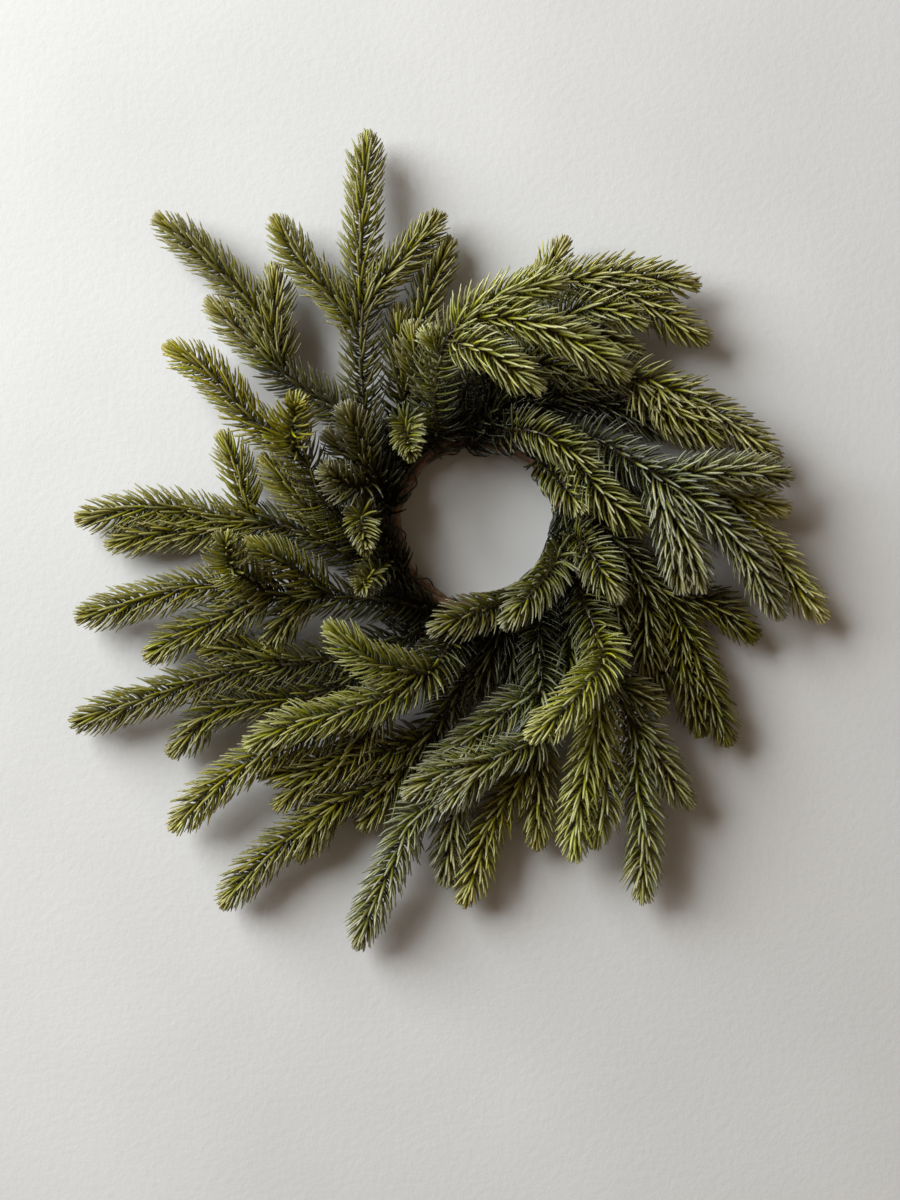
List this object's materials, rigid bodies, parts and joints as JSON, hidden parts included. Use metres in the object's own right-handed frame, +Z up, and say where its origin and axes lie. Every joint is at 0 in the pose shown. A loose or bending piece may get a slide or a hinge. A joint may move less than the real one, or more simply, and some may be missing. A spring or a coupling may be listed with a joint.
{
  "type": "spruce candle ring",
  "caption": "Artificial spruce sprays wired onto a small ring of twisted vine, laid flat round a pillar candle.",
  "frame": {"origin": "middle of the bounding box in X and Y, on the surface that the ring lies on", "axes": "+Z up from that surface, +Y away from the viewer's near edge of the ring, +X to the right"},
  "size_m": [0.4228, 0.4576, 0.0733],
  "materials": {
    "vine": "dry bark",
    "wire": "dark green lacquer",
    "needles_green": "soft moulded",
    "needles_bright": "soft moulded",
    "needles_gold": "soft moulded",
    "needles_blue": "soft moulded",
    "needles_deep": "soft moulded"
  },
  "bodies": {
    "root": {"vine_1": "vine", "vine_2": "vine", "vine_3": "vine", "binding_wire": "wire", "spray_top_right": "needles_green", "spray_upper_right": "needles_green", "spray_right_low": "needles_green", "spray_lower_right": "needles_green", "spray_lower_right_blue": "needles_blue", "spray_bottom_low": "needles_green", "spray_bottom_left": "needles_green", "spray_lower_left": "needles_green", "spray_left": "needles_green", "spray_upper_left": "needles_green", "spray_top_low": "needles_deep", "spray_top": "needles_green", "spray_left_gold": "needles_gold", "spray_left_low": "needles_green", "spray_bottom_left_upper": "needles_green", "spray_bottom_fan": "needles_blue", "spray_bottom_right": "needles_bright", "spray_right_inner": "needles_deep", "spray_right": "needles_blue", "spray_top_right_inner": "needles_blue", "tuft_upper_left": "needles_bright", "spray_top_bright": "needles_bright", "spray_rim_top": "needles_bright", "spray_rim_right": "needles_bright", "spray_rim_lower_right": "needles_bright", "spray_rim_bottom": "needles_green", "spray_lower_left_bright": "needles_bright", "tuft_left": "needles_green", "spray_left_inner": "needles_deep", "spray_bottom_inner": "needles_deep", "spray_top_inner": "needles_deep"}
  },
  "joints": []
}
